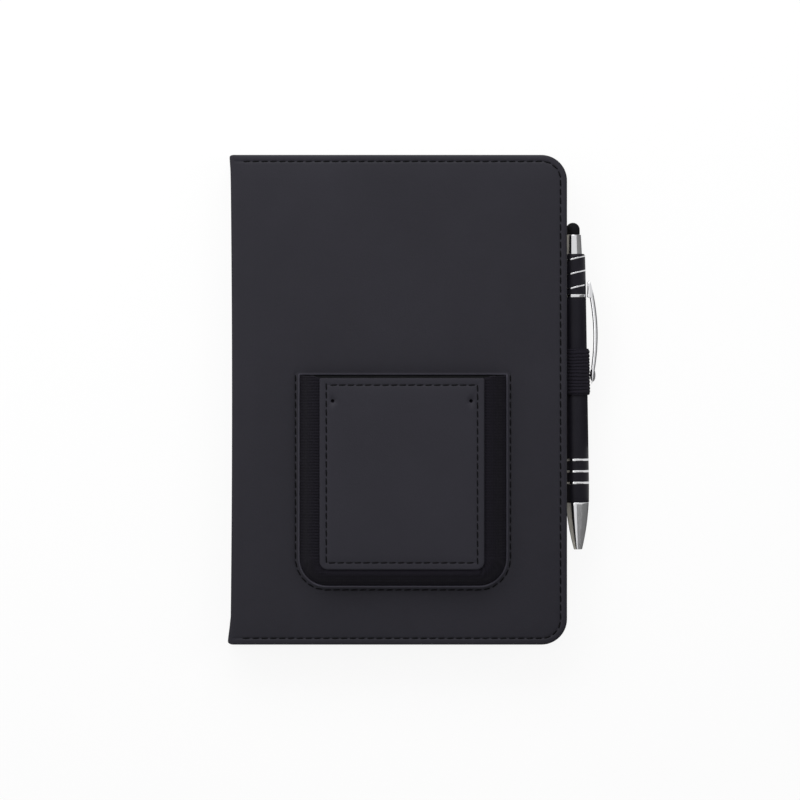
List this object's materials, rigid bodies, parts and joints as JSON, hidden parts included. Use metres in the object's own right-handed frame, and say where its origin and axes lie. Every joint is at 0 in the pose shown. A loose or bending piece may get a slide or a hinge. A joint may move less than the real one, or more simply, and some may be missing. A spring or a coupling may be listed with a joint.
{
  "type": "pocket notebook",
  "caption": "Hardback pocket notebook in black leather-look covers, with a stretch phone pocket on the front cover, rounded page corners, and a click pen with stylus tip in an elastic loop",
  "frame": {"origin": "centre of the back cover's outer face, which the closed notebook lies on", "axes": "+X across the covers towards the fore edge, +Y up the page towards the head, +Z out of the front cover"},
  "size_m": [0.1576, 0.21, 0.0281],
  "materials": {
    "leather_black": "smooth polyurethane leather, fine grain, satin",
    "foam": "thin black foam sheet",
    "greyboard": "grey board",
    "lining_cloth": "black lining cloth",
    "endpaper": "plain pasted paper, matte",
    "page_paper": "uncoated cream paper, matte",
    "backing_cloth": "open-weave book cloth with glue",
    "elastic_black": "woven elastic with fine ribs",
    "soft_black_paint": "satin black lacquer",
    "bright_chrome": "polished plate",
    "tube_brass": "turned brass",
    "spring_steel": "drawn wire",
    "stylus_rubber": "soft conductive rubber, matte",
    "clear_plastic": "natural moulded plastic",
    "refill_plastic": "translucent tube"
  },
  "bodies": {
    "back_cover": {"back_skin": "leather_black", "back_padding": "foam", "back_board": "greyboard", "back_lining": "lining_cloth", "back_endpaper": "endpaper", "back_flyleaf": "page_paper", "page_section_1": "page_paper", "page_section_2": "page_paper", "page_section_3": "page_paper", "page_section_4": "page_paper", "back_pages_backing": "backing_cloth", "pen_loop": "elastic_black"},
    "spine": {"spine_skin": "leather_black", "spine_board": "greyboard", "spine_lining": "lining_cloth"},
    "front_cover": {"front_skin": "leather_black", "front_padding": "foam", "front_board": "greyboard", "front_lining": "lining_cloth", "front_endpaper": "endpaper", "pocket_floor": "lining_cloth", "elastic_gusset": "elastic_black"},
    "pocket_panel": {"elastic_front": "elastic_black", "pocket_patch": "leather_black"},
    "front_pages": {"front_flyleaf": "page_paper", "page_section_5": "page_paper", "page_section_6": "page_paper", "page_section_7": "page_paper", "page_section_8": "page_paper", "front_pages_backing": "backing_cloth"},
    "pen": {"upper_barrel": "soft_black_paint", "lower_barrel": "soft_black_paint", "barrel_coupling": "tube_brass", "nose_cone": "bright_chrome", "upper_bands": "bright_chrome", "lower_bands": "bright_chrome", "cam_sleeve": "clear_plastic", "refill_spring": "spring_steel"},
    "clip": {"clip": "bright_chrome"},
    "plunger": {"stylus_tip": "stylus_rubber", "plunger_tube": "bright_chrome", "push_rod": "clear_plastic", "cam_rotor": "clear_plastic"},
    "refill": {"ink_tube": "refill_plastic", "refill_point": "tube_brass", "refill_plug": "refill_plastic"}
  },
  "joints": [
    {"name": "pages_turn", "type": "hinge", "parent": "back_cover", "child": "front_pages", "pos_m": [-0.0693, 0, 0.009], "axis": [0, -1, 0], "range_deg": [0, 180]},
    {"name": "spine_fold", "type": "hinge", "parent": "back_cover", "child": "spine", "pos_m": [-0.071, 0, 0.0013], "axis": [0, -1, 0], "range_deg": [0, 90]},
    {"name": "cover_open", "type": "hinge", "parent": "spine", "child": "front_cover", "pos_m": [-0.071, 0, 0.0167], "axis": [0, -1, 0], "range_deg": [0, 90]},
    {"name": "pocket_press", "type": "slide", "parent": "front_cover", "child": "pocket_panel", "axis": [0, 0, 1], "range_m": [-0.0072, 0], "stiffness_N_per_m": 1500, "deforming": ["elastic_gusset"]},
    {"name": "pen_slide", "type": "slide", "parent": "back_cover", "child": "pen", "axis": [-0.0162, 0.9999, 0], "range_m": [0, 0.175]},
    {"name": "clip_flex", "type": "hinge", "parent": "pen", "child": "clip", "pos_m": [0.08149, 0.0441, 0.009], "axis": [0, 0, 1], "range_deg": [0, 4], "stiffness_Nm_per_rad": 3},
    {"name": "plunger_press", "type": "slide", "parent": "pen", "child": "plunger", "axis": [0.0162, -0.9999, 0], "range_m": [0, 0.005], "stiffness_N_per_m": 600, "deforming": ["refill_spring"]},
    {"name": "refill_advance", "type": "slide", "parent": "pen", "child": "refill", "axis": [0.0162, -0.9999, 0], "range_m": [0, 0.005]}
  ],
  "couplings": [
    {"joint": "spine_fold", "follows": "pages_turn", "ratio": 0.5},
    {"joint": "cover_open", "follows": "pages_turn", "ratio": 0.5},
    {"joint": "refill_advance", "follows": "plunger_press", "ratio": 1}
  ]
}
